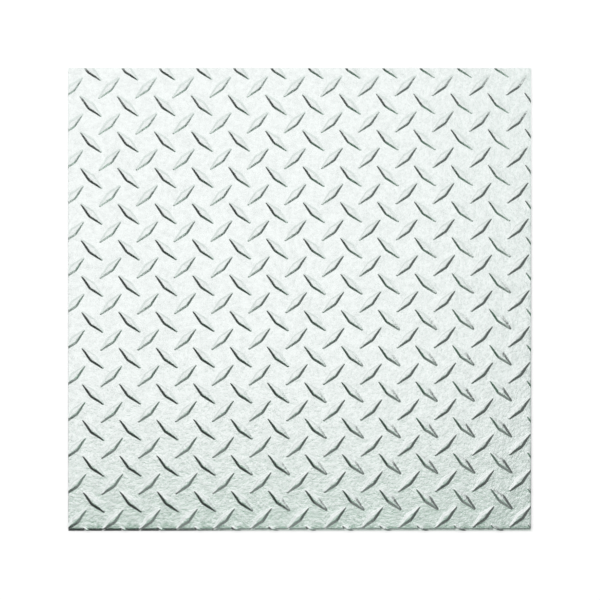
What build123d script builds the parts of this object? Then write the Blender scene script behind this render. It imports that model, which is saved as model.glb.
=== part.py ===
"""Aluminium tread sheet: a square of rolled sheet with raised diamond lugs on its upper face.

The sheet is one piece of metal and lies flat on its smooth underside, with the lugs up. X runs
across it, Y along it and +Z up through its thickness. The origin is the middle of the underside.
The lugs stand in two sets, one falling and one rising from left to right, and each lug of one set
stands in the middle of four lugs of the other. The sheet was cut out of a wider one, so its edges
pass through lugs, and the pattern is a little out of square with them. Lengths are in millimetres
and angles in degrees.
"""

import os
from math import ceil, cos, hypot, radians, sin

from build123d import *

# The cut sheet
sheet_width = 609.6
sheet_length = 609.6
sheet_thickness = 3.175
# The burr on the lower edges is filed off at 45 degrees
edge_break = 0.3

# One raised lug: a long diamond in plan, with sloping flanks and a crest that is arched along it.
# Its two sharp tips are cut off by sloping ends, so the lug is shorter than the diamond.
lug_length = 40.0
lug_width = 11.4
lug_height = 1.5
diamond_length = 54.0
flank_slope = 30.0
crest_radius = 320.0

# The rolled pattern: both sets of lugs have this pitch, and lean this much from the rows
column_pitch = 48.8
row_pitch = 47.4
lug_lean = 44.5
pattern_turn = 0.47
# The falling lug that the pattern is set out from, measured from the sheet's left and back edges
first_lug_from_left = 29.5
first_lug_from_back = 50.0
# A lug with less than this share of its metal left inside the cut edge is not worth keeping
least_offcut_share = 0.002


def rolled_lug():
    """One whole lug, along X, standing on the XY plane with its middle at the origin."""
    tip = diamond_length / 2
    waist = lug_width / 2
    outline = make_face(Polyline((tip, 0), (0, waist), (-tip, 0), (0, -waist), close=True))
    diamond = extrude(outline, amount=lug_height, taper=90 - flank_slope)
    wide_enough = 2 * lug_width
    ends = extrude(
        Rectangle(lug_length, wide_enough).face(), amount=lug_height, taper=90 - flank_slope
    )
    arch = Pos(0, 0, lug_height - crest_radius) * Rot(90, 0, 0) * Cylinder(crest_radius, lug_width)
    return diamond & ends & arch


def lug_places():
    """Where a lug stands on the upper face: the falling set, then the rising set between them."""
    turn = radians(pattern_turn)
    columns = ceil(sheet_width / column_pitch) + 1
    rows = ceil(sheet_length / row_pitch) + 1
    for half_step, lean in ((0, -lug_lean), (1 / 2, lug_lean)):
        for column in range(-columns, columns + 1):
            for row in range(-rows, rows + 1):
                across = (column + half_step) * column_pitch
                back = (row + half_step) * row_pitch
                x = first_lug_from_left - sheet_width / 2 + across * cos(turn) - back * sin(turn)
                y = sheet_length / 2 - first_lug_from_back + across * sin(turn) + back * cos(turn)
                yield Location((x, y, sheet_thickness), (0, 0, lean + pattern_turn))


def lugs_on_sheet():
    """Every lug that stands on the sheet, with those at its edges cut off flush."""
    lug = rolled_lug()
    reach = hypot(lug_length, lug_width) / 2
    cut_out = Pos(0, 0, sheet_thickness) * Box(sheet_width, sheet_length, 2 * lug_height)
    kept = []
    for place in lug_places():
        past_side = abs(place.position.X) + reach - sheet_width / 2
        past_end = abs(place.position.Y) + reach - sheet_length / 2
        outermost = max(past_side, past_end)
        if outermost <= 0:
            kept.append(place * lug)
        elif outermost < 2 * reach:
            offcut = (place * lug) & cut_out
            if offcut and offcut.volume > least_offcut_share * lug.volume:
                kept.append(offcut)
    return kept


def base_sheet():
    """The plain sheet under the lugs, with the burr filed off its lower edges."""
    slab = Box(
        sheet_width, sheet_length, sheet_thickness, align=(Align.CENTER, Align.CENTER, Align.MIN)
    )
    return chamfer(slab.edges().group_by(Axis.Z)[0], edge_break)


def tread_sheet():
    """The whole sheet as one solid."""
    return base_sheet().fuse(*lugs_on_sheet())


os.makedirs("parts", exist_ok=True)
export_step(tread_sheet(), "parts/tread_sheet.step")
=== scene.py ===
"""Makes the visible aluminium tread sheet around its CAD frame, and a plain studio to see it in.

The sheet is one piece of rolled metal, so it is one closed mesh: the tread face with its raised
lugs, the sheared edges and the smooth underside. Lengths are in metres. X runs across the sheet,
Y along it to the back and Z up through its thickness, and the underside lies at Z 0.
"""

import math

import bmesh
import bpy
import numpy as np
from bpy.props import FloatProperty, FloatVectorProperty, PointerProperty
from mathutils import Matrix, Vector


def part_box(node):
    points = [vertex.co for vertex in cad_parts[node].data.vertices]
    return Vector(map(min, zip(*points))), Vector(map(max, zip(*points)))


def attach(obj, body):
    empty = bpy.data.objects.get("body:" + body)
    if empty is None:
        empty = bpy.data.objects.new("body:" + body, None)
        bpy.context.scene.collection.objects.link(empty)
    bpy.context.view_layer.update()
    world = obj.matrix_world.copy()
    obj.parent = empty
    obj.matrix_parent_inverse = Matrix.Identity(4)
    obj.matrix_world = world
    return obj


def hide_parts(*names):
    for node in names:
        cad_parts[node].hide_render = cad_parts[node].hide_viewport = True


bl_info = {
    "name": "Aluminium Tread Sheet",
    "version": (1, 0, 0),
    "blender": (4, 5, 0),
    "location": "3D View > Sidebar > Tread Sheet",
    "description": "Rolls and shears a square of diamond tread sheet and lights it on a pale floor",
    "category": "Add Mesh",
}

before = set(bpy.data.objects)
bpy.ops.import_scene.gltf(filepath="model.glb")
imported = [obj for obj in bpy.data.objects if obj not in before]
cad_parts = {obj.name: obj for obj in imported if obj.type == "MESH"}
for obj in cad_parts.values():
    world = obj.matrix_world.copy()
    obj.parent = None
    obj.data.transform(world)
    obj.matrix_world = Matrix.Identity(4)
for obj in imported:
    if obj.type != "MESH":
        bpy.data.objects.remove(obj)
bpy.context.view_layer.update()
SHEET_LOW, SHEET_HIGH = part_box("tread_sheet")

# The segments around one lug. From each tip to the waist there are six: the first two go round
# the tip, and these shares of the length lie along the side. The corners of the tile fall on them.
LUG_SEGMENTS = 24
SIDE_SHARES = np.array([1, 1, 1, 0.72, 0.4, 0.1, 0])
TIP_TURNS = np.array([0, 0.5, 1, 1, 1, 1, 1])
CROSSING_STEPS = 8
# The rings inwards from the foot, as shares of the way to where flank meets crest, and the size of
# the innermost ring as a share of the next. A ring's tip is never quite sharp.
RING_SHARES = np.array([1.3, 1.08, 0.92, 0.5, 0.14, 0])
CORE_SHARE = 0.6
LEAST_GROWN_SHARE = 0.05

# Points this close are joined, and edges shorter than a sliver are closed up. The roll-over has
# this many rows of points, and edges sharper than this angle stay crisp.
WELD_REACH = 1e-6
SLIVER_REACH = 1e-5
ROLL_ROWS = 4
SHARP_ANGLE = math.radians(38)
FACE_MATERIAL, EDGE_MATERIAL, UNDERSIDE_MATERIAL = range(3)

# The mill's texture is blotches and grain, and this is the blotches' share of it
BLOTCH_SHARE = 0.4
EDGE_GRAIN = {"blotch_scale": 900.0, "grain_scale": 3600.0}
UNDERSIDE_GRAIN = {"blotch_scale": 30.0, "grain_scale": 240.0}

# Scuffs run in two directions and are drawn out by a squeeze. One shows where its noise comes
# nearer to the ceiling than the cover, and its sides are as steep as this.
SCUFF_DEGREES = (24.0, -58.0)
SCUFF_SQUEEZE = 0.02
SCUFF_CEILING = 0.82
SCUFF_STEEPNESS = 12.0

# The tread face. Cloud is the mottle stretched between two of its values. A lug begins between two
# shares of its height, and its crest between two upright parts of the surface's direction. Then
# come what each adds to the roughness, how much painted shade darkens a lug's colour next to a
# cloud, the shares of the colour where it is clear and where cloud and painted shade are full, and
# the depths of the bumps.
CLOUD_FROM, CLOUD_TO = 0.42, 0.7
LUG_START_SHARES = (0.1, 0.4)
CREST_FROM, CREST_TO = 0.93, 0.985
FACE_ROUGHER_BY = {"cloud": 0.06, "lines": 0.04, "lug": -0.06, "crest": 0.05, "scuffs": 0.05}
# Painted shade: the lugs' colour is darkened to stand in for the grey reflections on their tops and
# to tone down their highlights.
LUG_PAINTED_SHADE = 0.42
CLEAR_SHARE, CLOUD_AND_LUG_SHADE_SHARE = 1.02, 0.89
FACE_BUMPS = {"mottle": 0.00064, "lines": 0.000002, "scuffs": 0.000002}

# The sheared edge. The burnished part passes into the torn part over this share of the base's
# height on either side of their border, and drag lines are drawn out upwards by a squeeze.
TORN_START_SHARE = 0.05
DRAG_SQUEEZE = 0.05
DRAG_SCALE = 2600.0
TORN_ROUGHER_BY = 0.22
TORN_SHARE = 0.7
EDGE_BUMPS = {"torn": 0.00025, "drag": 0.00001}

# The underside: what each adds to the roughness, what its mean is lowered by to make up for that,
# its colour's darkest share and the depths of the bumps
UNDERSIDE_ROUGHER_BY = {"mottle": 0.16, "lines": 0.1, "scuffs": 0.12}
UNDERSIDE_SMOOTHER_BY = 0.1
UNDERSIDE_DARK_SHARE = 0.9
UNDERSIDE_BUMPS = {"lines": 0.000004, "scuffs": 0.000003}

# The stage: how far the floor reaches under the sheet, its looks, the key light, the camera's
# sensor in millimetres and its reach in camera heights
WINDOW_INSET = 0.001
FLOOR_ROUGHNESS = 0.9
FLOOR_GLOW = 0.3
KEY_LIGHT_PLACE = (-0.7, 1.3, 1.7)
KEY_LIGHT_WIDTH = 1.4
SENSOR_WIDTH = 36
CLIP_HEIGHTS = 4

# The dark and grey cards that the metal mirrors. A standing flag has two points on the floor, a
# height at each and a colour. A hanging flag has two corners, a height and a colour.
NEAR_BLACK = (0.045, 0.05, 0.047)
PALE_GREY = (0.9, 0.94, 0.92)
MID_GREY = (0.7, 0.74, 0.72)
STANDING_FLAGS = {
    "far_left_flag": ((-3, -0.2), (-3, -3.2), (7, 7), NEAR_BLACK),
    "far_front_flag": ((-3, -3.2), (-1.0, -3.2), (7, 7), NEAR_BLACK),
    "front_left_flag": ((-0.8, -0.55), (-0.16, -0.55), (0.75, 0.75), NEAR_BLACK),
    "front_flag": ((-0.16, -0.55), (0.3, -0.55), (0.7, 0.7), (0.2, 0.22, 0.21)),
    "front_right_flag": ((0.3, -0.55), (0.6, -0.55), (0.7, 0.7), (0.08, 0.09, 0.085)),
    "low_front_card": ((-0.1, -0.5), (0.6, -0.5), (0.13, 0.13), (0.62, 0.66, 0.63)),
    "right_flag": ((0.55, -0.9), (0.55, 0.15), (2.0, 0.5), (0.11, 0.12, 0.115)),
    "left_card": ((-1.0, 0.9), (-1.0, 0.05), (1.25, 1.25), MID_GREY),
    "low_left_card": ((-0.98, 0.88), (-0.98, 0.05), (0.72, 0.72), PALE_GREY),
    "back_card": ((1.2, 0.9), (-1.0, 0.9), (1.25, 1.25), MID_GREY),
    "low_back_card": ((1.2, 0.88), (-0.98, 0.88), (0.72, 0.72), PALE_GREY),
}
HANGING_FLAGS = {
    "front_awning": ((-0.56, -0.62), (0.44, -0.375), 1.0, (0.14, 0.32, 0.21)),
    "right_awning": ((0.48, -1.2), (1.8, 0.8), 1.8, (0.68, 0.75, 0.72)),
}


def length_property(name, description, default, precision=4):
    """A length in metres that a user may change."""
    return FloatProperty(
        name=name, description=description, default=default, min=0, precision=precision,
        subtype="DISTANCE", unit="LENGTH",
    )


def angle_property(name, description, degrees):
    """An angle that a user may change, given here in degrees."""
    return FloatProperty(
        name=name, description=description, default=math.radians(degrees), subtype="ANGLE",
        unit="ROTATION",
    )


def colour_property(name, description, default):
    """A colour that a user may change."""
    return FloatVectorProperty(
        name=name, description=description, default=default, size=3, min=0, max=1, subtype="COLOR"
    )


def share_property(name, description, default, high=1):
    """A plain number that a user may change."""
    return FloatProperty(
        name=name, description=description, default=default, min=0, max=high, subtype="FACTOR"
    )


class TreadPattern(bpy.types.PropertyGroup):
    """How the two sets of lugs are set out on the sheet."""

    column_pitch: length_property("Column Pitch", "Step between lugs of a set across", 0.0488)
    row_pitch: length_property("Row Pitch", "Step between lugs of a set along", 0.0474)
    lean: angle_property("Lug Lean", "Angle between a lug and the rows", 44.5)
    turn: angle_property("Pattern Turn", "How far the pattern is out of square", 0.47)
    first_from_left: length_property("First Lug from Left", "Where the pattern starts", 0.0295)
    first_from_back: length_property("First Lug from Back", "Where the pattern starts", 0.05)


class LugShape(bpy.types.PropertyGroup):
    """The shape of one raised lug."""

    length: length_property("Length", "Length from tip to tip", 0.04)
    width: length_property("Width", "Width at the waist", 0.0114)
    height: length_property("Height", "Height above the sheet's face", 0.0015)
    tip_radius: length_property("Tip Radius", "Roundness of the two tips in plan", 0.0016)
    flank_slope: angle_property("Flank Slope", "Steepness of the flanks", 26)
    arch_radius: length_property("Arch Radius", "Radius of the crest from tip to tip", 0.32, 3)
    crown_radius: length_property("Crown Radius", "Radius of the crest across the lug", 0.03, 3)
    waist_round: length_property("Waist Rounding", "Softness of the corner at the waist", 0.0016)
    crest_round: length_property("Crest Rounding", "Softness where flank meets crest", 0.0004)
    foot_round: length_property("Foot Rounding", "Softness where flank meets sheet", 0.0002)
    foot_margin: length_property("Foot Margin", "Flat collar kept around the foot", 0.0003)


class CutEdge(bpy.types.PropertyGroup):
    """The sheared edge of the sheet."""

    roll_width: length_property("Roll-over Width", "How far in the face is drawn down", 0.0042)
    roll_drop: length_property("Roll-over Drop", "How far the face is drawn down", 0.0018)
    other_share: share_property("Other Edges", "Roll-over of the others next to the front's", 0.12)
    burnish_share: share_property("Burnished Share", "Share of the edge that is cut clean", 0.62)
    fracture_lean: length_property("Fracture Lean", "How far the torn part draws in", 0.00012, 5)
    edge_break: length_property("Edge Break", "Width of the filed lower edge", 0.0003, 5)


class Finish(bpy.types.PropertyGroup):
    """Colours and sheen of the metal."""

    face_colour: colour_property("Face Colour", "Bright rolled metal", (0.94, 0.98, 0.967))
    edge_colour: colour_property("Edge Colour", "Freshly sheared metal", (0.8, 0.825, 0.82))
    underside_colour: colour_property("Underside Colour", "Plain mill finish", (0.83, 0.85, 0.845))
    face_roughness: share_property("Face Roughness", "Mean roughness of the tread face", 0.24)
    edge_roughness: share_property("Edge Roughness", "Mean roughness of the cut edge", 0.38)
    underside_roughness: share_property("Underside Roughness", "Mean roughness below", 0.3)
    mottle: share_property("Mottle", "Strength of the cloudy mill texture", 1.0, 4)


class Studio(bpy.types.PropertyGroup):
    """The floor, the light and the camera."""

    camera_height: length_property("Camera Height", "Height of the camera above the sheet", 5.5, 2)
    picture_width: length_property("Picture Width", "Width of the view at the sheet", 0.7900)
    picture_right: FloatProperty(
        name="Picture Offset Right",
        description="How far the view's middle is to the right of the sheet's",
        default=0.0004, precision=4, subtype="DISTANCE", unit="LENGTH",
    )
    picture_front: FloatProperty(
        name="Picture Offset Front",
        description="How far the view's middle is in front of the sheet's",
        default=0.00066, precision=5, subtype="DISTANCE", unit="LENGTH",
    )
    floor_width: length_property("Floor Width", "Width of the square floor", 14, 1)
    floor_colour: colour_property("Floor Colour", "Plain pale floor", (0.86, 0.86, 0.86))
    tent_strength: share_property("Tent Strength", "Strength of the soft light all round", 0.78, 4)
    key_power: FloatProperty(
        name="Key Light Power", description="Power of the soft key light", default=9, min=0,
        unit="POWER",
    )


def smooth_lower(one, other, reach):
    """The lower of two heights, rounded off by reach / 4 where they cross."""
    near = np.clip(1 - np.abs(one - other) / reach, 0, None)
    return np.minimum(one, other) - near**2 * reach / 4


def smooth_upper(one, other, reach):
    """The higher of two heights, rounded off by reach / 4 where they cross."""
    return -smooth_lower(-one, -other, reach)


def lug_diamond(lug):
    """The diamond that a lug's plan grows from, and the direction outwards, around from one tip.

    The plan is this diamond grown by the tip radius. Along its side the distance from the middle
    line falls evenly from the waist to the tip, with the corner at the waist rounded by a
    hyperbola. At the tip the outward direction turns from the side's own to straight ahead.
    Returns two arrays of points in the lug's plane.
    """
    tip, waist = lug.length / 2 - lug.tip_radius, lug.width / 2 - lug.tip_radius
    soft = lug.waist_round
    number = np.arange(LUG_SEGMENTS)
    half = LUG_SEGMENTS // 2
    step = np.minimum(number % half, half - number % half)
    forward = np.where(np.abs(number - half) < half / 2, -1, 1)
    side = np.sign(half - number) * (number > 0)
    along = tip * SIDE_SHARES[step]
    longest_fall = math.hypot(tip, soft) - soft
    across = waist * (1 - (np.hypot(along, soft) - soft) / longest_fall)
    slope = waist / longest_fall * along / np.hypot(along, soft)
    turn = (math.pi / 2 - np.arctan(slope)) * TIP_TURNS[step]
    diamond = np.stack([along * forward, across * side], axis=1)
    return diamond, np.stack([np.cos(turn) * forward, np.sin(turn) * side], axis=1)


def lug_surface(lug):
    """The raised part of one tile, as a surface of two parameters: around the lug and inwards.

    A ring's inset is its distance inside the foot. Up to the tip radius, the ring is the diamond
    grown by what is left of that radius. Further in, it is the diamond drawn in towards the
    middle. The height is the lower of the crest and the flank, rounded where they cross, and
    never under the sheet's face, again rounded. The flank is inset * tan(slope). The crest is
    height - along^2 / (2 * arch) - across^2 / (2 * crown). The crossing of the two is found by
    putting each one's plan into the other a few times. Returns rings by segments by 3, from the
    middle outwards.
    """
    diamond, outwards = lug_diamond(lug)
    tip, waist = lug.length / 2 - lug.tip_radius, lug.width / 2 - lug.tip_radius
    steep = math.tan(lug.flank_slope)
    deepest = tip * waist / math.hypot(tip, waist)

    def plan_at(inset):
        left = (lug.tip_radius - inset)[..., None]
        grown = np.clip(left, LEAST_GROWN_SHARE * lug.tip_radius, None)
        return diamond * (1 + np.clip(left, None, 0) / deepest) + outwards * grown

    def crest_at(plan):
        along, across = plan[..., 0], plan[..., 1]
        return lug.height - along**2 / (2 * lug.arch_radius) - across**2 / (2 * lug.crown_radius)

    crossing = np.full(LUG_SEGMENTS, lug.height / steep)
    for _ in range(CROSSING_STEPS):
        crossing = np.clip(crest_at(plan_at(crossing)) / steep, lug.foot_round, None)
    inside = crossing * RING_SHARES[:, None]
    outside = (lug.foot_round / 2, lug.foot_round, lug.foot_round + lug.foot_margin)
    inset = np.stack([*inside, *(np.full(LUG_SEGMENTS, -distance) for distance in outside)])
    plan = plan_at(inset)
    plan = np.concatenate([plan[:1] * CORE_SHARE, plan])
    inset = np.concatenate([inset[:1] / CORE_SHARE, inset])
    raised = smooth_lower(crest_at(plan), inset * steep, lug.crest_round)
    height = smooth_upper(raised, np.zeros_like(raised), lug.foot_round)
    return np.dstack([plan, height])


def tile_border(pattern, lug, first_corner):
    """The border of the flat tile around a lug, from the point that its first tip looks at.

    Four lugs of the other set stand around a lug. The border runs between the four corners that
    lie halfway to the next lugs of its own set, as a parabola along each side. It bows out past
    the lug's tips and in beside its waist, so that each side fits the next tile. first_corner
    counts the corners round from the right one. Returns segments by 2.
    """
    right, back = pattern.column_pitch / 2, pattern.row_pitch / 2
    corners = np.array([[right, 0], [0, back], [-right, 0], [0, -back]])
    corners = np.roll(corners, -first_corner, axis=0)
    step = np.arange(LUG_SEGMENTS) / LUG_SEGMENTS * len(corners) + 0.5
    side = step.astype(int) % len(corners)
    share = (step % 1)[:, None]
    start, end = corners[side], corners[(side + 1) % len(corners)]
    towards = (start + end) / np.linalg.norm(start + end, axis=1, keepdims=True)
    highest_bow = (lug.length - lug.width) / 4
    bow = highest_bow * 4 * share * (1 - share)
    sign = np.where(side % 2 == 0, 1, -1)[:, None]
    return start + (end - start) * share + towards * bow * sign


def turned(points, angle):
    """Points with their first two coordinates turned about the origin by an angle."""
    cos, sin = math.cos(angle), math.sin(angle)
    result = points.copy()
    result[..., 0] = points[..., 0] * cos - points[..., 1] * sin
    result[..., 1] = points[..., 0] * sin + points[..., 1] * cos
    return result


def lug_tile(pattern, lug, rising):
    """One tile of the rolled face: the middle point, the lug's rings, then the flat border."""
    rings = turned(lug_surface(lug), pattern.lean if rising else -pattern.lean)
    border = tile_border(pattern, lug, 0 if rising else 3)
    flat = np.column_stack([border, np.zeros(LUG_SEGMENTS)])
    middle = np.array([[0, 0, lug.height]])
    return np.concatenate([middle, rings.reshape(-1, 3), flat])


def tile_places(pattern, rising):
    """Where the middles of one set of lugs stand, as a lattice over more than the whole sheet."""
    reach = SHEET_HIGH.xy - SHEET_LOW.xy
    columns = math.ceil(reach.x / pattern.column_pitch) + 1
    rows = math.ceil(reach.y / pattern.row_pitch) + 1
    half = 0.5 if rising else 0
    column, row = np.meshgrid(np.arange(-1, columns + 1), np.arange(-rows, 2))
    places = np.stack([column.ravel() + half, row.ravel() + half], axis=1)
    places = turned(places * [pattern.column_pitch, pattern.row_pitch], pattern.turn)
    first = [SHEET_LOW.x + pattern.first_from_left, SHEET_HIGH.y - pattern.first_from_back]
    places = places + first
    margin = pattern.column_pitch
    near = np.all((places > np.array(SHEET_LOW.xy) - margin), axis=1)
    near &= np.all((places < np.array(SHEET_HIGH.xy) + margin), axis=1)
    return places[near]


def tile_corners(rings):
    """Corner indices of a tile's faces: a fan around the middle, then a band for each ring."""
    around = np.arange(LUG_SEGMENTS)
    ahead = (around + 1) % LUG_SEGMENTS
    fan = np.stack([0 * around, around + 1, ahead + 1], axis=1)
    inner = (1 + np.arange(rings - 1) * LUG_SEGMENTS)[:, None]
    outer = inner + LUG_SEGMENTS
    bands = np.stack([inner + around, outer + around, outer + ahead, inner + ahead], axis=2)
    return fan, bands.reshape(-1, 4)


def mesh_from_arrays(name, points, corners, sizes):
    """A mesh from its points, the corner indices of all its faces in a row and their counts."""
    mesh = bpy.data.meshes.new(name)
    mesh.vertices.add(len(points))
    mesh.vertices.foreach_set("co", np.asarray(points, np.float32).ravel())
    mesh.loops.add(len(corners))
    mesh.loops.foreach_set("vertex_index", np.asarray(corners, np.int32))
    mesh.polygons.add(len(sizes))
    starts = np.concatenate([[0], np.cumsum(sizes)[:-1]])
    mesh.polygons.foreach_set("loop_start", starts.astype(np.int32))
    mesh.update(calc_edges=True)
    mesh.validate()
    return mesh


def rolled_face(pattern, lug, face_height):
    """The rolled face, wider than the sheet: every tile of both sets, not yet joined."""
    points, fans, quads, count = [], [], [], 0
    for rising in (False, True):
        tile = lug_tile(pattern, lug, rising)
        fan, bands = tile_corners((len(tile) - 1) // LUG_SEGMENTS)
        tile = turned(tile, pattern.turn)
        places = tile_places(pattern, rising)
        shift = np.column_stack([places, np.full(len(places), face_height)])
        points.append((tile[None] + shift[:, None]).reshape(-1, 3))
        offset = (count + np.arange(len(places)) * len(tile))[:, None, None]
        fans.append((fan[None] + offset).reshape(-1, 3))
        quads.append((bands[None] + offset).reshape(-1, 4))
        count += len(places) * len(tile)
    fans, quads = np.concatenate(fans), np.concatenate(quads)
    corners = np.concatenate([fans.ravel(), quads.ravel()])
    sizes = np.repeat([3, 4], [len(fans), len(quads)])
    return mesh_from_arrays("rolled_face", np.concatenate(points), corners, sizes)


def sheared_face(mesh, cut):
    """The rolled face joined up and cut to the sheet's size, with rows of points along the cuts.

    Behind each cut, the rows divide the roll-over's width evenly.
    """
    work = bmesh.new()
    work.from_mesh(mesh)
    bmesh.ops.remove_doubles(work, verts=work.verts, dist=WELD_REACH)
    row_insets = cut.roll_width * np.linspace(1, 0, ROLL_ROWS, endpoint=False)
    edges = (
        (SHEET_LOW, (0, -1, 0), 1), (SHEET_HIGH, (0, 1, 0), cut.other_share),
        (SHEET_LOW, (-1, 0, 0), cut.other_share), (SHEET_HIGH, (1, 0, 0), cut.other_share),
    )
    for inset in (0, *row_insets):
        for corner, outwards, share in edges:
            normal = Vector(outwards)
            bmesh.ops.bisect_plane(
                work, geom=work.verts[:] + work.edges[:] + work.faces[:],
                plane_co=corner - normal * inset * share, plane_no=normal, dist=WELD_REACH,
                clear_outer=bool(inset == 0),
            )
    bmesh.ops.dissolve_degenerate(work, edges=work.edges, dist=SLIVER_REACH)
    work.to_mesh(mesh)
    work.free()
    return mesh


def read_mesh(mesh):
    """A mesh's points, its faces' corner indices and counts, and the corners' edges and ends."""
    points = np.empty(len(mesh.vertices) * 3, np.float32)
    mesh.vertices.foreach_get("co", points)
    corners = np.empty(len(mesh.loops), np.int32)
    mesh.loops.foreach_get("vertex_index", corners)
    corner_edges = np.empty(len(mesh.loops), np.int32)
    mesh.loops.foreach_get("edge_index", corner_edges)
    edge_ends = np.empty(len(mesh.edges) * 2, np.int32)
    mesh.edges.foreach_get("vertices", edge_ends)
    sizes = np.empty(len(mesh.polygons), np.int32)
    mesh.polygons.foreach_get("loop_total", sizes)
    points, edge_ends = points.reshape(-1, 3).astype(float), edge_ends.reshape(-1, 2)
    return points, corners, corner_edges, edge_ends, sizes


def rolled_over(points, cut):
    """The face pulled down along the cuts, by a parabola of the roll-over's width and drop.

    Along the front edge it has its whole width and drop, and along the others a share of them. At
    a corner the two drops add up.
    """
    half = np.array(SHEET_HIGH.xy)
    share = np.full((len(points), 2), cut.other_share)
    share[:, 1] = np.where(points[:, 1] < 0, 1, cut.other_share)
    into = np.clip(1 - (half - np.abs(points[:, :2])) / (cut.roll_width * share), 0, 1)
    drop = cut.roll_drop * share * into**2
    result = points.copy()
    result[:, 2] -= drop.sum(axis=1)
    return result


def drawn_in(rim, inset, height):
    """The rim's points set to one height, and scaled in plan to lie inside the cut by an inset."""
    plan = rim[:, :2] * (1 - inset / np.array(SHEET_HIGH.xy))
    return np.column_stack([plan, np.full(len(rim), height)])


def closed_sheet(face, cut, face_height):
    """The whole skin: the cut face, the sheared edge below its rim, and the flat underside.

    The edge is the rim carried down by rings: plumb to the end of the burnished part, drawn in
    over the torn part, and drawn in again to the underside by the filed break.
    """
    points, corners, corner_edges, edge_ends, sizes = read_mesh(face)
    half = np.array(SHEET_HIGH.xy)
    points[:, :2] = np.clip(points[:, :2], -half, half)
    points = rolled_over(points, cut)
    uses = np.bincount(corner_edges, minlength=len(edge_ends))
    on_rim = uses[corner_edges] == 1
    start = corners[on_rim]
    end = edge_ends[corner_edges[on_rim]].sum(axis=1) - start
    rim = np.unique(start)
    burnish_end = face_height * (1 - cut.burnish_share)
    insets = (0, cut.fracture_lean, cut.edge_break + cut.fracture_lean)
    heights = (burnish_end, cut.edge_break, 0)
    rings = [drawn_in(points[rim], inset, height) for inset, height in zip(insets, heights)]
    upper = [start, end]
    walls = []
    for number in range(len(rings)):
        first = len(points) + number * len(rim)
        lower = [first + np.searchsorted(rim, start), first + np.searchsorted(rim, end)]
        walls.append(np.stack([upper[1], upper[0], lower[0], lower[1]], axis=1))
        upper = lower
    last = rings[-1]
    underside = np.argsort(-np.arctan2(last[:, 1], last[:, 0])) + first
    walls = np.concatenate(walls)
    corners = np.concatenate([corners, walls.ravel(), underside])
    counts = [len(sizes), len(walls), 1]
    sizes = np.concatenate([sizes, np.full(len(walls), 4), [len(underside)]])
    mesh = mesh_from_arrays("rolled_tread_sheet", np.concatenate([points, *rings]), corners, sizes)
    slots = np.repeat([FACE_MATERIAL, EDGE_MATERIAL, UNDERSIDE_MATERIAL], counts)
    mesh.polygons.foreach_set("material_index", slots.astype(np.int32))
    mesh.polygons.foreach_set("use_smooth", np.ones(len(sizes), bool))
    mesh.set_sharp_from_angle(angle=SHARP_ANGLE)
    return mesh


def add_node(tree, kind, at, **values):
    """A shader node at a place in its tree, with its settings and plain input values."""
    node = tree.nodes.new(kind)
    node.location = at
    for name, value in values.items():
        if name in node.bl_rna.properties:
            setattr(node, name, value)
        else:
            node.inputs[name.replace("_", " ").title()].default_value = value
    return node


def add_math(tree, operation, at, *operands):
    """A Math node. Each operand is a number or an output socket."""
    node = tree.nodes.new("ShaderNodeMath")
    node.location = at
    node.operation = operation
    for socket, value in zip(node.inputs, operands):
        if isinstance(value, (int, float)):
            socket.default_value = value
        else:
            tree.links.new(value, socket)
    return node.outputs[0]


def map_range(tree, at, value, low, high):
    """A value spread from one range onto 0 to 1."""
    node = add_node(tree, "ShaderNodeMapRange", at)
    node.inputs["From Min"].default_value = low
    node.inputs["From Max"].default_value = high
    tree.links.new(value, node.inputs["Value"])
    return node.outputs[0]


def new_group(name, inputs, outputs):
    """An empty shader node group with float and vector inputs and float outputs."""
    group = bpy.data.node_groups.new(name, "ShaderNodeTree")
    for label, default in inputs.items():
        kind = "NodeSocketVector" if default is None else "NodeSocketFloat"
        socket = group.interface.new_socket(label, in_out="INPUT", socket_type=kind)
        if default is not None:
            socket.default_value = default
    for label in outputs:
        group.interface.new_socket(label, in_out="OUTPUT", socket_type="NodeSocketFloat")
    start = group.nodes.new("NodeGroupInput")
    start.location = (-900, 0)
    end = group.nodes.new("NodeGroupOutput")
    end.location = (600, 0)
    return group, start.outputs, end.inputs


def mottle_group():
    """The cloudy texture of rolled metal: soft blotches with a finer grain in them, around 0.5."""
    group, given, made = new_group(
        "Mill Mottle", {"Vector": None, "Blotch Scale": 110.0, "Grain Scale": 230.0}, ["Value"]
    )
    blotch = add_node(group, "ShaderNodeTexNoise", (-650, 150), Detail=3.0, Roughness=0.55)
    grain = add_node(group, "ShaderNodeTexNoise", (-650, -150), Detail=4.0, Roughness=0.65)
    for node, scale in ((blotch, "Blotch Scale"), (grain, "Grain Scale")):
        group.links.new(given["Vector"], node.inputs["Vector"])
        group.links.new(given[scale], node.inputs["Scale"])
    blotches = add_math(group, "MULTIPLY", (-400, 150), blotch.outputs[0], BLOTCH_SHARE)
    grains = add_math(group, "MULTIPLY", (-400, -150), grain.outputs[0], 1 - BLOTCH_SHARE)
    total = add_math(group, "ADD", (-150, 0), blotches, grains)
    group.links.new(total, made["Value"])
    return group


def rolling_lines_group():
    """Fine lines drawn out along the rolling direction, around 0.5."""
    group, given, made = new_group(
        "Rolling Lines", {"Vector": None, "Line Scale": 1500.0, "Drawn Out": 40.0}, ["Value"]
    )
    squeeze = add_math(group, "DIVIDE", (-650, -150), 1.0, given["Drawn Out"])
    factors = add_node(group, "ShaderNodeCombineXYZ", (-450, -150), Y=1.0, Z=1.0)
    group.links.new(squeeze, factors.inputs["X"])
    drawn = add_node(group, "ShaderNodeVectorMath", (-250, 0), operation="MULTIPLY")
    group.links.new(given["Vector"], drawn.inputs[0])
    group.links.new(factors.outputs[0], drawn.inputs[1])
    lines = add_node(group, "ShaderNodeTexNoise", (0, 0), Detail=3.0, Roughness=0.6)
    group.links.new(drawn.outputs[0], lines.inputs["Vector"])
    group.links.new(given["Line Scale"], lines.inputs["Scale"])
    group.links.new(lines.outputs[0], made["Value"])
    return group


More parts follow.
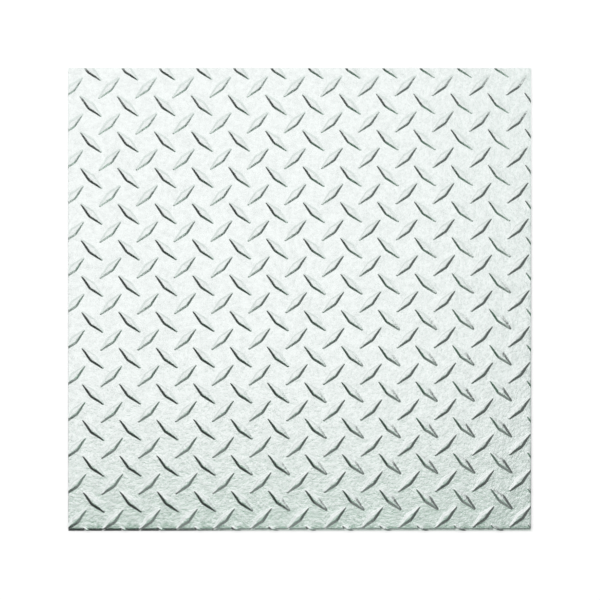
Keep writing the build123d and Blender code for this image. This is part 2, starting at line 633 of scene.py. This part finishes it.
def scuff_group():
    """Fine straight scuffs in two directions: 1 on a scuff and 0 between them."""
    group, given, made = new_group(
        "Handling Scuffs", {"Vector": None, "Scuff Scale": 900.0, "Cover": 0.1}, ["Value"]
    )
    scuffs = []
    for number, degrees in enumerate(SCUFF_DEGREES):
        turn = add_node(group, "ShaderNodeMapping", (-650, -320 * number))
        turn.inputs["Rotation"].default_value = (0, 0, math.radians(degrees))
        turn.inputs["Scale"].default_value = (SCUFF_SQUEEZE, 1, 1)
        group.links.new(given["Vector"], turn.inputs["Vector"])
        noise = add_node(group, "ShaderNodeTexNoise", (-450, -320 * number), Detail=1.0)
        group.links.new(turn.outputs[0], noise.inputs["Vector"])
        group.links.new(given["Scuff Scale"], noise.inputs["Scale"])
        scuffs.append(noise.outputs[0])
    both = add_math(group, "MAXIMUM", (-200, 0), *scuffs)
    threshold = add_math(group, "SUBTRACT", (0, -200), SCUFF_CEILING, given["Cover"])
    over = add_math(group, "SUBTRACT", (200, 0), both, threshold)
    steep = add_math(group, "MULTIPLY", (400, 0), over, SCUFF_STEEPNESS)
    steep.node.use_clamp = True
    group.links.new(steep, made["Value"])
    return group


def place_group(tree, group, at, vector, **values):
    """A node group in a material, fed with the material's coordinates."""
    node = tree.nodes.new("ShaderNodeGroup")
    node.node_tree = group
    node.location = at
    tree.links.new(vector, node.inputs["Vector"])
    for name, value in values.items():
        node.inputs[name.replace("_", " ").title()].default_value = value
    return node.outputs[0]


def metal_material(name, colour, roughness):
    """A new metal with its shader, its own coordinates, and nothing linked yet."""
    material = bpy.data.materials.new(name)
    material.use_nodes = True
    material.diffuse_color = (*colour, 1)
    tree = material.node_tree
    shader = tree.nodes["Principled BSDF"]
    shader.inputs["Base Color"].default_value = (*colour, 1)
    shader.inputs["Metallic"].default_value = 1
    shader.inputs["Roughness"].default_value = roughness
    coordinates = add_node(tree, "ShaderNodeTexCoord", (-1500, 0)).outputs["Object"]
    return material, tree, shader, coordinates


def shade_by(tree, shader, colour, mask, dark_share, at, light_share=1):
    """The base colour times one share where a mask is 0, and another where it is 1."""
    mix = add_node(tree, "ShaderNodeMix", at, data_type="RGBA")
    colours = [socket for socket in mix.inputs if socket.type == "RGBA"]
    colours[0].default_value = (*(part * light_share for part in colour), 1)
    colours[1].default_value = (*(part * dark_share for part in colour), 1)
    tree.links.new(mask, mix.inputs[0])
    result = [socket for socket in mix.outputs if socket.type == "RGBA"][0]
    tree.links.new(result, shader.inputs["Base Color"])


def bump_from(tree, shader, layers, at):
    """Bump nodes in a chain, each from a height and its depth in metres, into the shader."""
    normal = None
    for number, (height, depth) in enumerate(layers):
        bump = add_node(tree, "ShaderNodeBump", (at[0] + 200 * number, at[1]), Distance=depth)
        tree.links.new(height, bump.inputs["Height"])
        if normal:
            tree.links.new(normal, bump.inputs["Normal"])
        normal = bump.outputs[0]
    tree.links.new(normal, shader.inputs["Normal"])


def face_material(finish, groups, face_height, lug_height):
    """Bright rolled metal: mottled, faintly lined, darker in colour on its lugs by painted shade,
    and smoother there.
    """
    colour, roughness = finish.face_colour, finish.face_roughness
    material, tree, shader, vector = metal_material("bright_tread_face", colour, roughness)
    mottle = place_group(tree, groups["mottle"], (-1200, 300), vector)
    lines = place_group(tree, groups["lines"], (-1200, 0), vector)
    scuffs = place_group(tree, groups["scuffs"], (-1200, -300), vector, cover=0.08)
    height = add_node(tree, "ShaderNodeSeparateXYZ", (-1200, -600))
    tree.links.new(vector, height.inputs[0])
    on_lug = map_range(
        tree, (-950, -600), height.outputs["Z"],
        *(face_height + lug_height * share for share in LUG_START_SHARES),
    )
    upright = add_node(tree, "ShaderNodeSeparateXYZ", (-1200, -800))
    tree.links.new(vector.node.outputs["Normal"], upright.inputs[0])
    level = map_range(tree, (-950, -800), upright.outputs["Z"], CREST_FROM, CREST_TO)
    on_crest = add_math(tree, "MULTIPLY", (-700, -700), on_lug, level)
    cloud = map_range(tree, (-950, 500), mottle, CLOUD_FROM, CLOUD_TO)
    rougher = FACE_ROUGHER_BY
    spread = rougher["cloud"] * finish.mottle
    rough = add_math(tree, "MULTIPLY_ADD", (-700, 300), cloud, spread, roughness - spread / 2)
    rough = add_math(tree, "MULTIPLY_ADD", (-700, 100), lines, rougher["lines"], rough)
    rough = add_math(tree, "MULTIPLY_ADD", (-500, 0), on_lug, rougher["lug"], rough)
    rough = add_math(tree, "MULTIPLY_ADD", (-300, 0), on_crest, rougher["crest"], rough)
    rough = add_math(tree, "MULTIPLY_ADD", (-100, 0), scuffs, rougher["scuffs"], rough)
    tree.links.new(rough, shader.inputs["Roughness"])
    # Painted shade: the lugs' colour is darkened, added on top of the mottle's clouds.
    mottle_and_lug_shade = add_math(tree, "MULTIPLY_ADD", (-700, 500), on_lug, LUG_PAINTED_SHADE, cloud)
    shade_by(tree, shader, colour, mottle_and_lug_shade, CLOUD_AND_LUG_SHADE_SHARE, (-500, 500), CLEAR_SHARE)
    mottle_depth = FACE_BUMPS["mottle"] * finish.mottle
    bumps = [
        (mottle, mottle_depth), (lines, FACE_BUMPS["lines"]), (scuffs, FACE_BUMPS["scuffs"])
    ]
    bump_from(tree, shader, bumps, (-800, -1000))
    return material


def edge_material(finish, groups, face_height, burnish_share):
    """The sheared edge: burnished with upright drag lines above, torn and grainy below."""
    colour, roughness = finish.edge_colour, finish.edge_roughness
    material, tree, shader, vector = metal_material("sheared_edge", colour, roughness)
    height = add_node(tree, "ShaderNodeSeparateXYZ", (-1200, -600))
    tree.links.new(vector, height.inputs[0])
    torn = add_node(tree, "ShaderNodeMapRange", (-950, -600))
    burnish_end = face_height * (1 - burnish_share)
    torn.inputs["From Min"].default_value = burnish_end + face_height * TORN_START_SHARE
    torn.inputs["From Max"].default_value = burnish_end - face_height * TORN_START_SHARE
    tree.links.new(height.outputs["Z"], torn.inputs["Value"])
    grain = place_group(tree, groups["mottle"], (-1200, 300), vector, **EDGE_GRAIN)
    drag = add_node(tree, "ShaderNodeMapping", (-1400, -200))
    drag.inputs["Scale"].default_value = (1, 1, DRAG_SQUEEZE)
    tree.links.new(vector, drag.inputs["Vector"])
    lines = add_node(tree, "ShaderNodeTexNoise", (-1200, -200), Scale=DRAG_SCALE, Detail=2.0)
    tree.links.new(drag.outputs[0], lines.inputs["Vector"])
    torn = torn.outputs[0]
    rough = add_math(tree, "MULTIPLY_ADD", (-500, 0), torn, TORN_ROUGHER_BY, roughness)
    tree.links.new(rough, shader.inputs["Roughness"])
    torn_grain = add_math(tree, "MULTIPLY", (-700, 300), torn, grain)
    shade_by(tree, shader, colour, torn_grain, TORN_SHARE, (-500, 500))
    bumps = [(torn_grain, EDGE_BUMPS["torn"]), (lines.outputs[0], EDGE_BUMPS["drag"])]
    bump_from(tree, shader, bumps, (-800, -900))
    return material


def underside_material(finish, groups):
    """The plain underside: smooth mill finish with rolling lines and a few scuffs."""
    colour, roughness = finish.underside_colour, finish.underside_roughness
    material, tree, shader, vector = metal_material("mill_underside", colour, roughness)
    mottle = place_group(tree, groups["mottle"], (-1200, 300), vector, **UNDERSIDE_GRAIN)
    lines = place_group(tree, groups["lines"], (-1200, 0), vector, drawn_out=90.0)
    scuffs = place_group(tree, groups["scuffs"], (-1200, -300), vector, cover=0.13)
    rougher, least = UNDERSIDE_ROUGHER_BY, roughness - UNDERSIDE_SMOOTHER_BY
    rough = add_math(tree, "MULTIPLY_ADD", (-700, 300), mottle, rougher["mottle"], least)
    rough = add_math(tree, "MULTIPLY_ADD", (-500, 100), lines, rougher["lines"], rough)
    rough = add_math(tree, "MULTIPLY_ADD", (-300, 0), scuffs, rougher["scuffs"], rough)
    tree.links.new(rough, shader.inputs["Roughness"])
    shade_by(tree, shader, colour, mottle, UNDERSIDE_DARK_SHARE, (-500, 500))
    bumps = [(lines, UNDERSIDE_BUMPS["lines"]), (scuffs, UNDERSIDE_BUMPS["scuffs"])]
    bump_from(tree, shader, bumps, (-800, -900))
    return material


class TREAD_OT_roll_sheet(bpy.types.Operator):
    """Roll, shear and finish the aluminium tread sheet"""

    bl_idname = "tread.roll_sheet"
    bl_label = "Roll Tread Sheet"
    bl_options = {"REGISTER", "UNDO"}

    def execute(self, context):
        scene = context.scene
        pattern, lug, cut = scene.tread_pattern, scene.tread_lug, scene.tread_cut
        face_height = SHEET_HIGH.z - lug.height
        face = rolled_face(pattern, lug, face_height)
        mesh = closed_sheet(sheared_face(face, cut), cut, face_height)
        bpy.data.meshes.remove(face)
        groups = {
            "mottle": mottle_group(), "lines": rolling_lines_group(), "scuffs": scuff_group()
        }
        finish = scene.tread_finish
        mesh.materials.append(face_material(finish, groups, face_height, lug.height))
        mesh.materials.append(edge_material(finish, groups, face_height, cut.burnish_share))
        mesh.materials.append(underside_material(finish, groups))
        sheet = bpy.data.objects.new("rolled_tread_sheet", mesh)
        scene.collection.objects.link(sheet)
        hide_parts("tread_sheet")
        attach(sheet, "root")
        return {"FINISHED"}


def add_stage_piece(name, points, corners, material):
    """A piece of the stage from its points and faces."""
    mesh = bpy.data.meshes.new(name)
    mesh.from_pydata(points, [], corners)
    mesh.materials.append(material)
    piece = bpy.data.objects.new(name, mesh)
    bpy.context.scene.collection.objects.link(piece)
    return piece


def floor_material(studio):
    """A plain pale floor that is pure white to the camera where no shadow falls on it.

    Its back lets the camera through, so that the sheet's underside can be looked at.
    """
    material = bpy.data.materials.new("pale_floor")
    material.use_nodes = True
    tree = material.node_tree
    shader = tree.nodes["Principled BSDF"]
    shader.inputs["Base Color"].default_value = (*studio.floor_colour, 1)
    shader.inputs["Roughness"].default_value = FLOOR_ROUGHNESS
    shader.inputs["Specular IOR Level"].default_value = 0
    light_path = add_node(tree, "ShaderNodeLightPath", (-700, -200))
    shader.inputs["Emission Color"].default_value = (1, 1, 1, 1)
    seen = light_path.outputs["Is Camera Ray"]
    glow = add_math(tree, "MULTIPLY", (-400, -200), seen, FLOOR_GLOW)
    tree.links.new(glow, shader.inputs["Emission Strength"])
    geometry = add_node(tree, "ShaderNodeNewGeometry", (-700, 300))
    clear = add_node(tree, "ShaderNodeBsdfTransparent", (-100, -300))
    mix = add_node(tree, "ShaderNodeMixShader", (300, 0))
    tree.links.new(geometry.outputs["Backfacing"], mix.inputs[0])
    tree.links.new(shader.outputs[0], mix.inputs[1])
    tree.links.new(clear.outputs[0], mix.inputs[2])
    tree.links.new(mix.outputs[0], tree.nodes["Material Output"].inputs["Surface"])
    return material


def add_floor(studio):
    """The floor: a square with a window under the sheet, a little smaller than the sheet."""
    far, near = studio.floor_width / 2, SHEET_HIGH.x - WINDOW_INSET
    square = ((-1, -1), (1, -1), (1, 1), (-1, 1))
    points = [(x * size, y * size, 0) for size in (far, near) for x, y in square]
    corners = [(k, (k + 1) % 4, (k + 1) % 4 + 4, k + 4) for k in range(4)]
    add_stage_piece("floor", points, corners, floor_material(studio))


def add_flag(name, corners, colour):
    """A card of one even tone that only the metal mirrors, from its four corners."""
    material = bpy.data.materials.new(name)
    material.use_nodes = True
    shader = material.node_tree.nodes["Principled BSDF"]
    shader.inputs["Base Color"].default_value = (0, 0, 0, 1)
    shader.inputs["Specular IOR Level"].default_value = 0
    shader.inputs["Emission Color"].default_value = (*colour, 1)
    shader.inputs["Emission Strength"].default_value = 1
    flag = add_stage_piece(name, corners, [(0, 1, 2, 3)], material)
    flag.visible_camera = False
    flag.visible_diffuse = False
    flag.visible_shadow = False


def add_standing_flag(name, start, end, heights, colour):
    """A flag that stands on the floor from one point to another, with a height at each."""
    corners = [(*start, 0), (*end, 0), (*end, heights[1]), (*start, heights[0])]
    add_flag(name, corners, colour)


def add_hanging_flag(name, low, high, level, colour):
    """A level flag that hangs over the rectangle between two points."""
    plan = [low, (high[0], low[1]), high, (low[0], high[1])]
    add_flag(name, [(*corner, level) for corner in plan], colour)


def add_world(studio):
    """White to the camera and in the metal's reflections, and a plain soft light otherwise."""
    world = bpy.data.worlds.new("white_tent")
    world.use_nodes = True
    tree = world.node_tree
    light_path = add_node(tree, "ShaderNodeLightPath", (-700, 200))
    seen = add_math(
        tree, "MAXIMUM", (-450, 200), light_path.outputs["Is Camera Ray"],
        light_path.outputs["Is Glossy Ray"],
    )
    seen = add_math(tree, "MAXIMUM", (-250, 200), seen, light_path.outputs["Is Transmission Ray"])
    tent = tree.nodes["Background"]
    tent.inputs["Color"].default_value = (1, 1, 1, 1)
    tent.inputs["Strength"].default_value = studio.tent_strength
    white = add_node(tree, "ShaderNodeBackground", (-250, -100), Color=(1, 1, 1, 1), Strength=1.0)
    mix = add_node(tree, "ShaderNodeMixShader", (100, 100))
    tree.links.new(seen, mix.inputs[0])
    tree.links.new(tent.outputs[0], mix.inputs[1])
    tree.links.new(white.outputs[0], mix.inputs[2])
    tree.links.new(mix.outputs[0], tree.nodes["World Output"].inputs["Surface"])
    bpy.context.scene.world = world


def add_key_light(studio):
    """A large soft light behind and to the left, which looks at the sheet's middle."""
    lamp = bpy.data.lights.new("key_light", "AREA")
    lamp.shape = "SQUARE"
    lamp.size = KEY_LIGHT_WIDTH
    lamp.energy = studio.key_power
    light = bpy.data.objects.new("key_light", lamp)
    light.location = KEY_LIGHT_PLACE
    light.rotation_euler = (-light.location).to_track_quat("-Z", "Y").to_euler()
    light.visible_camera = False
    light.visible_glossy = False
    bpy.context.scene.collection.objects.link(light)


def add_camera(studio):
    """A long lens straight above the sheet, looking down on its middle with a margin all round."""
    camera = bpy.data.cameras.new("camera")
    camera.sensor_width = SENSOR_WIDTH
    camera.lens = camera.sensor_width * studio.camera_height / studio.picture_width
    camera.clip_end = studio.camera_height * CLIP_HEIGHTS
    viewer = bpy.data.objects.new("camera", camera)
    viewer.location = (
        studio.picture_right, -studio.picture_front, SHEET_HIGH.z + studio.camera_height
    )
    bpy.context.scene.collection.objects.link(viewer)
    bpy.context.scene.camera = viewer


class TREAD_OT_set_stage(bpy.types.Operator):
    """Lay a pale floor, hang the soft light and the flags, and set the camera above"""

    bl_idname = "tread.set_stage"
    bl_label = "Set Stage"
    bl_options = {"REGISTER", "UNDO"}

    def execute(self, context):
        studio = context.scene.tread_studio
        add_floor(studio)
        for name, (start, end, heights, colour) in STANDING_FLAGS.items():
            add_standing_flag(name, start, end, heights, colour)
        for name, (low, high, level, colour) in HANGING_FLAGS.items():
            add_hanging_flag(name, low, high, level, colour)
        add_world(studio)
        add_key_light(studio)
        add_camera(studio)
        context.scene.view_settings.view_transform = "Standard"
        return {"FINISHED"}


class TREAD_PT_panel(bpy.types.Panel):
    """The sheet's settings and the steps that make it"""

    bl_label = "Tread Sheet"
    bl_space_type = "VIEW_3D"
    bl_region_type = "UI"
    bl_category = "Tread Sheet"

    def draw(self, context):
        for title, name in SETTINGS.values():
            column = self.layout.column(align=True)
            column.label(text=title)
            settings = getattr(context.scene, name)
            for key in settings.bl_rna.properties.keys():
                if key not in ("rna_type", "name"):
                    column.prop(settings, key)
        for operator in OPERATORS:
            self.layout.operator(operator.bl_idname)


SETTINGS = {
    TreadPattern: ("Pattern", "tread_pattern"),
    LugShape: ("Lug", "tread_lug"),
    CutEdge: ("Cut Edge", "tread_cut"),
    Finish: ("Finish", "tread_finish"),
    Studio: ("Studio", "tread_studio"),
}
OPERATORS = (TREAD_OT_roll_sheet, TREAD_OT_set_stage)


def register():
    """Makes the settings, the operators and the panel known."""
    for kind, (_, name) in SETTINGS.items():
        bpy.utils.register_class(kind)
        setattr(bpy.types.Scene, name, PointerProperty(type=kind))
    for kind in (*OPERATORS, TREAD_PT_panel):
        bpy.utils.register_class(kind)


def unregister():
    """Takes the panel, the operators and the settings away again."""
    for kind in (TREAD_PT_panel, *reversed(OPERATORS)):
        bpy.utils.unregister_class(kind)
    for kind, (_, name) in reversed(SETTINGS.items()):
        delattr(bpy.types.Scene, name)
        bpy.utils.unregister_class(kind)


def main():
    """Makes the sheet and its stage."""
    register()
    bpy.ops.tread.roll_sheet()
    bpy.ops.tread.set_stage()


if __name__ == "__main__":
    main()
